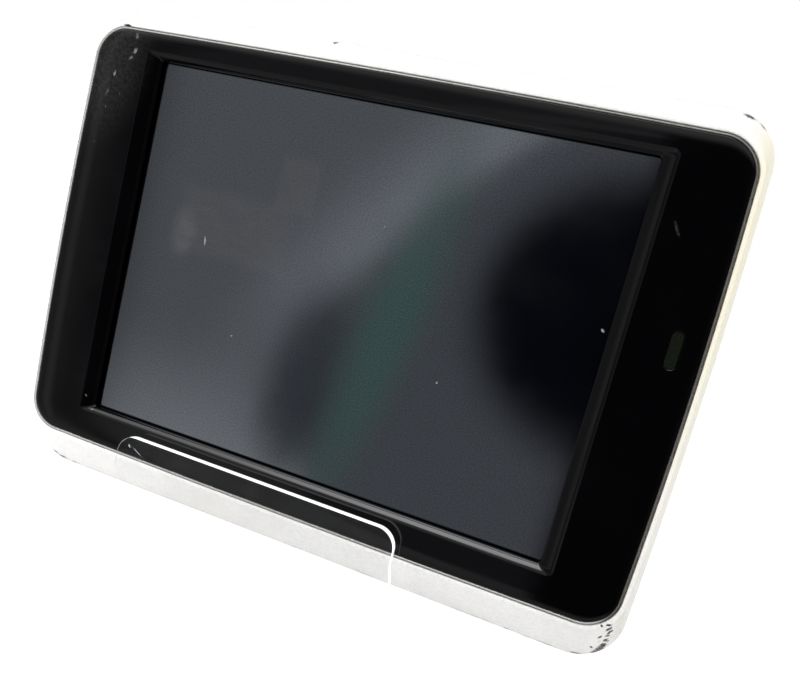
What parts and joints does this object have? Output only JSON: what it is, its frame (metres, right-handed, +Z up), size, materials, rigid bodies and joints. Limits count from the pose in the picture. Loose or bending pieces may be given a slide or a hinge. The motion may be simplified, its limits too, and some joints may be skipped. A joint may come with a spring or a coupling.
{
  "type": "portable gps navigator",
  "caption": "Pocket-size in-car navigator: a pale painted case with a gloss black face round a recessed touch screen, a clear tab on its chin, a power key, a card slot and a charging socket.",
  "frame": {"origin": "middle of the footprint, on the surface that the device stands on", "axes": "+X to the right across the screen, +Y from the screen to the back, +Z up"},
  "size_m": [0.097, 0.02, 0.0731],
  "materials": {
    "case_paint": "silvery white paint, worn at the edges",
    "face_gloss": "high gloss black",
    "trim_chrome": "bright plated",
    "clear_acrylic": "clear, polished edges",
    "lens_smoke": "smoked",
    "foam": "closed-cell foam",
    "touch_film": "matte film on glass",
    "display_glass": "dark, unlit",
    "sheet_steel": "thin bright sheet",
    "tray_white": "moulded",
    "flex_film": "polyimide film",
    "chassis_metal": "pressed",
    "board_green": "solder mask",
    "connector_ivory": "moulded",
    "black_plastic": "moulded",
    "ceramic": "fired ceramic with a silver patch",
    "ground_brass": "plated",
    "led_resin": "clear resin",
    "cell_foil": "foil pouch",
    "wire_red": "insulated wire",
    "magnet_iron": "ground",
    "screw_steel": "blackened"
  },
  "bodies": {
    "case": {"front_frame": "case_paint", "rear_cover": "case_paint", "face_bezel": "face_gloss", "trim_ring": "trim_chrome", "badge_tab": "clear_acrylic", "status_lens": "lens_smoke", "window_gasket": "foam", "panel_tape": "foam", "battery_pad": "foam", "speaker_gasket": "foam", "touch_panel": "touch_film", "lcd_glass": "display_glass", "lcd_metal_frame": "sheet_steel", "processor_shield": "sheet_steel", "receiver_shield": "sheet_steel", "card_socket": "sheet_steel", "usb_shell": "sheet_steel", "backlight_tray": "tray_white", "touch_tail": "flex_film", "lcd_flex": "flex_film", "chassis": "chassis_metal", "main_board": "board_green", "flex_sockets": "connector_ivory", "battery_plug": "connector_ivory", "speaker_plug": "connector_ivory", "flash_chips": "black_plastic", "usb_tongue": "black_plastic", "power_switch": "black_plastic", "reset_switch": "black_plastic", "speaker_frame": "black_plastic", "speaker_cone": "black_plastic", "patch_antenna": "ceramic", "antenna_ground": "ground_brass", "status_led": "led_resin", "battery": "cell_foil", "battery_lead": "wire_red", "speaker_lead": "wire_red", "speaker_magnet": "magnet_iron", "case_screws": "screw_steel", "board_screws": "screw_steel"},
    "power_key": {"power_key": "case_paint", "power_plunger": "connector_ivory"},
    "reset_button": {"reset_plunger": "connector_ivory"},
    "memory_card": {"memory_card": "black_plastic"}
  },
  "joints": [
    {"name": "power_key_press", "type": "slide", "parent": "case", "child": "power_key", "axis": [0, 0, -1], "range_m": [0, 0.0004], "stiffness_N_per_m": 1500},
    {"name": "reset_press", "type": "slide", "parent": "case", "child": "reset_button", "axis": [0, 0, 1], "range_m": [0, 0.00025], "stiffness_N_per_m": 1500},
    {"name": "memory_card_slide", "type": "slide", "parent": "case", "child": "memory_card", "axis": [-1, 0, 0], "range_m": [0, 0.034]}
  ]
}
